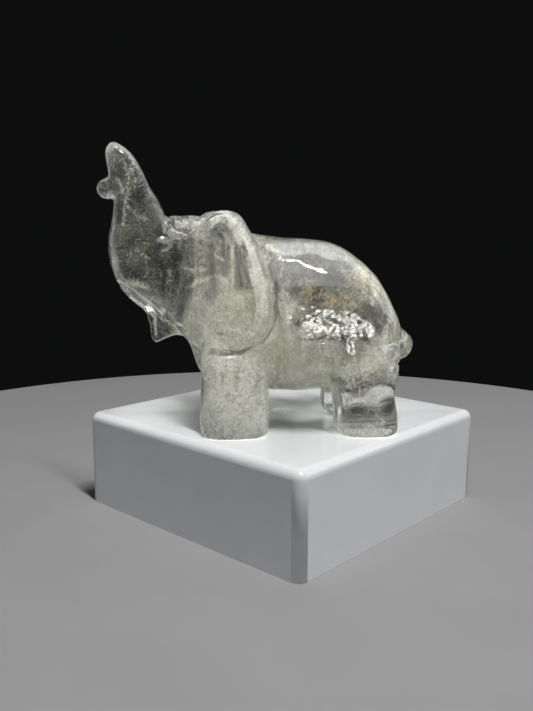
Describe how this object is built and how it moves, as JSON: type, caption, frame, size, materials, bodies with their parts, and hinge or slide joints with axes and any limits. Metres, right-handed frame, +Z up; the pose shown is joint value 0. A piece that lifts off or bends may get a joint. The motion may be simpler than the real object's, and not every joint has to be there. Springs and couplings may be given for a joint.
{
  "type": "crystal figurine on plinth",
  "caption": "Carved clear crystal elephant figurine with raised trunk, standing loose on a hollow square white display plinth.",
  "frame": {"origin": "centre of the plinth's footprint, on the surface it stands on", "axes": "+Z up; the elephant faces -Y and its left side faces +X; the plinth is turned 45 degrees, so a corner of it points along +X, -X, +Y and -Y"},
  "size_m": [0.1056, 0.1056, 0.0963],
  "materials": {
    "crystal": "polished rock crystal, clear to milky, with veils and a faint ochre stain",
    "white_plastic": "glossy moulded white"
  },
  "bodies": {
    "plinth": {"display_plinth": "white_plastic"},
    "figurine": {"crystal_elephant": "crystal"}
  },
  "joints": [
    {"name": "figurine_lift", "type": "slide", "parent": "plinth", "child": "figurine", "axis": [0, 0, 1], "range_m": [0, 0.06]}
  ]
}
